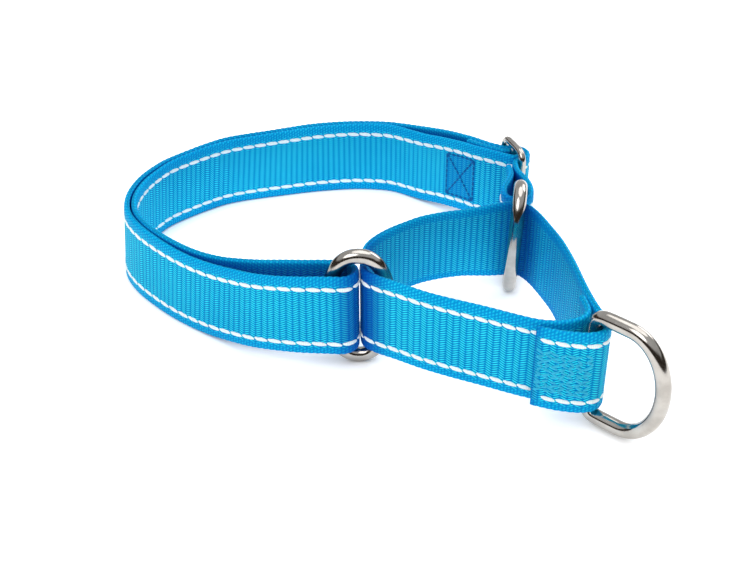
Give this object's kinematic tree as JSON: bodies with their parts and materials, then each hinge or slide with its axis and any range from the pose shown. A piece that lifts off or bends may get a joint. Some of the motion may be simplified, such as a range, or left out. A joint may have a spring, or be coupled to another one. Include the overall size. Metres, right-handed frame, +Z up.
{
  "type": "martingale collar",
  "caption": "Adjustable martingale dog collar of standing nylon webbing: neck loop with slider, control loop through oval rings, and a leash D-ring.",
  "frame": {"origin": "middle of the footprint, on the surface that the collar stands on", "axes": "+Z up along the webbing's width, +X towards the leash ring's side, -Y towards the control loop"},
  "size_m": [0.147, 0.1416, 0.0352],
  "materials": {
    "blue_webbing": "woven nylon with cross ribs",
    "reflective_yarn": "dashed white retroreflective yarn",
    "sewing_thread": "bonded sewing thread",
    "bright_nickel": "bright nickel plate"
  },
  "bodies": {
    "root": {"main_strap_outer": "blue_webbing", "main_strap_inner": "blue_webbing", "main_outer_rear_tracer_lower": "reflective_yarn", "main_outer_rear_tracer_upper": "reflective_yarn", "main_inner_rear_tracer_lower": "reflective_yarn", "main_inner_rear_tracer_upper": "reflective_yarn", "slider_tab_stitch": "sewing_thread", "ring_tab_stitch": "sewing_thread"},
    "front_arm": {"main_strap_front": "blue_webbing", "main_outer_front_tracer_lower": "reflective_yarn", "main_outer_front_tracer_upper": "reflective_yarn", "main_inner_front_tracer_lower": "reflective_yarn", "main_inner_front_tracer_upper": "reflective_yarn"},
    "control_right": {"control_strap_right": "blue_webbing", "control_right_tracer_lower": "reflective_yarn", "control_right_tracer_upper": "reflective_yarn"},
    "control_front": {"control_strap_front": "blue_webbing", "control_strap_flap": "blue_webbing", "control_front_tracer_lower": "reflective_yarn", "control_front_tracer_upper": "reflective_yarn", "control_flap_tracer_lower": "reflective_yarn", "control_flap_tracer_upper": "reflective_yarn", "flap_stitch": "sewing_thread", "inner_end_stitch": "sewing_thread"},
    "control_rear_left": {"control_strap_rear_left": "blue_webbing", "control_rear_left_tracer_lower": "reflective_yarn", "control_rear_left_tracer_upper": "reflective_yarn"},
    "control_rear_right": {"control_strap_rear_right": "blue_webbing", "control_rear_right_tracer_lower": "reflective_yarn", "control_rear_right_tracer_upper": "reflective_yarn"},
    "front_ring_body": {"front_ring": "bright_nickel"},
    "rear_ring_body": {"rear_ring": "bright_nickel"},
    "leash_ring_body": {"leash_d_ring": "bright_nickel"},
    "slider_body": {"three_bar_slider": "bright_nickel"}
  },
  "joints": [
    {"name": "neck_loop_flex", "type": "hinge", "parent": "root", "child": "front_arm", "pos_m": [-0.06996, 0.01914, 0.0122], "axis": [0, 0, 1], "range_deg": [-1, 4]},
    {"name": "right_run_flex", "type": "hinge", "parent": "root", "child": "control_right", "pos_m": [0.04404, 0.00534, 0.0174], "axis": [0, 0, 1], "range_deg": [-2, 6.5]},
    {"name": "corner_flex", "type": "hinge", "parent": "control_right", "child": "control_front", "pos_m": [0.05564, -0.03186, 0.0174], "axis": [0, 0, 1], "range_deg": [-12, 4]},
    {"name": "front_fold_flex", "type": "hinge", "parent": "control_front", "child": "control_rear_left", "pos_m": [0.00004, -0.02946, 0.0174], "axis": [0, 0, 1], "range_deg": [-7, 22]},
    {"name": "rear_run_flex", "type": "hinge", "parent": "control_rear_left", "child": "control_rear_right", "pos_m": [0.00964, -0.00616, 0.0174], "axis": [0, 0, 1], "range_deg": [-32, 10]},
    {"name": "leash_ring_swing", "type": "hinge", "parent": "control_front", "child": "leash_ring_body", "pos_m": [0.05644, -0.05506, 0.0174], "axis": [0, 0, 1], "range_deg": [-88, 88]},
    {"name": "front_ring_turn", "type": "hinge", "parent": "front_arm", "child": "front_ring_body", "pos_m": [-0.00926, -0.02996, 0.0176], "axis": [0, 0, 1], "range_deg": [-1.5, 5]},
    {"name": "rear_ring_turn", "type": "hinge", "parent": "root", "child": "rear_ring_body", "pos_m": [0.04464, 0.01407, 0.0176], "axis": [0.0432, -0.0057, 0.9991], "range_deg": [-2, 1.5]},
    {"name": "slider_rock", "type": "hinge", "parent": "root", "child": "slider_body", "pos_m": [0.04594, 0.04014, 0.0156], "axis": [0, 0, 1], "range_deg": [-1.5, 1.5]}
  ],
  "couplings": [
    {"joint": "right_run_flex", "follows": "neck_loop_flex", "ratio": 1.158},
    {"joint": "corner_flex", "follows": "neck_loop_flex", "ratio": -2.174},
    {"joint": "front_fold_flex", "follows": "neck_loop_flex", "ratio": 3.965},
    {"joint": "rear_run_flex", "follows": "neck_loop_flex", "ratio": -5.624}
  ]
}
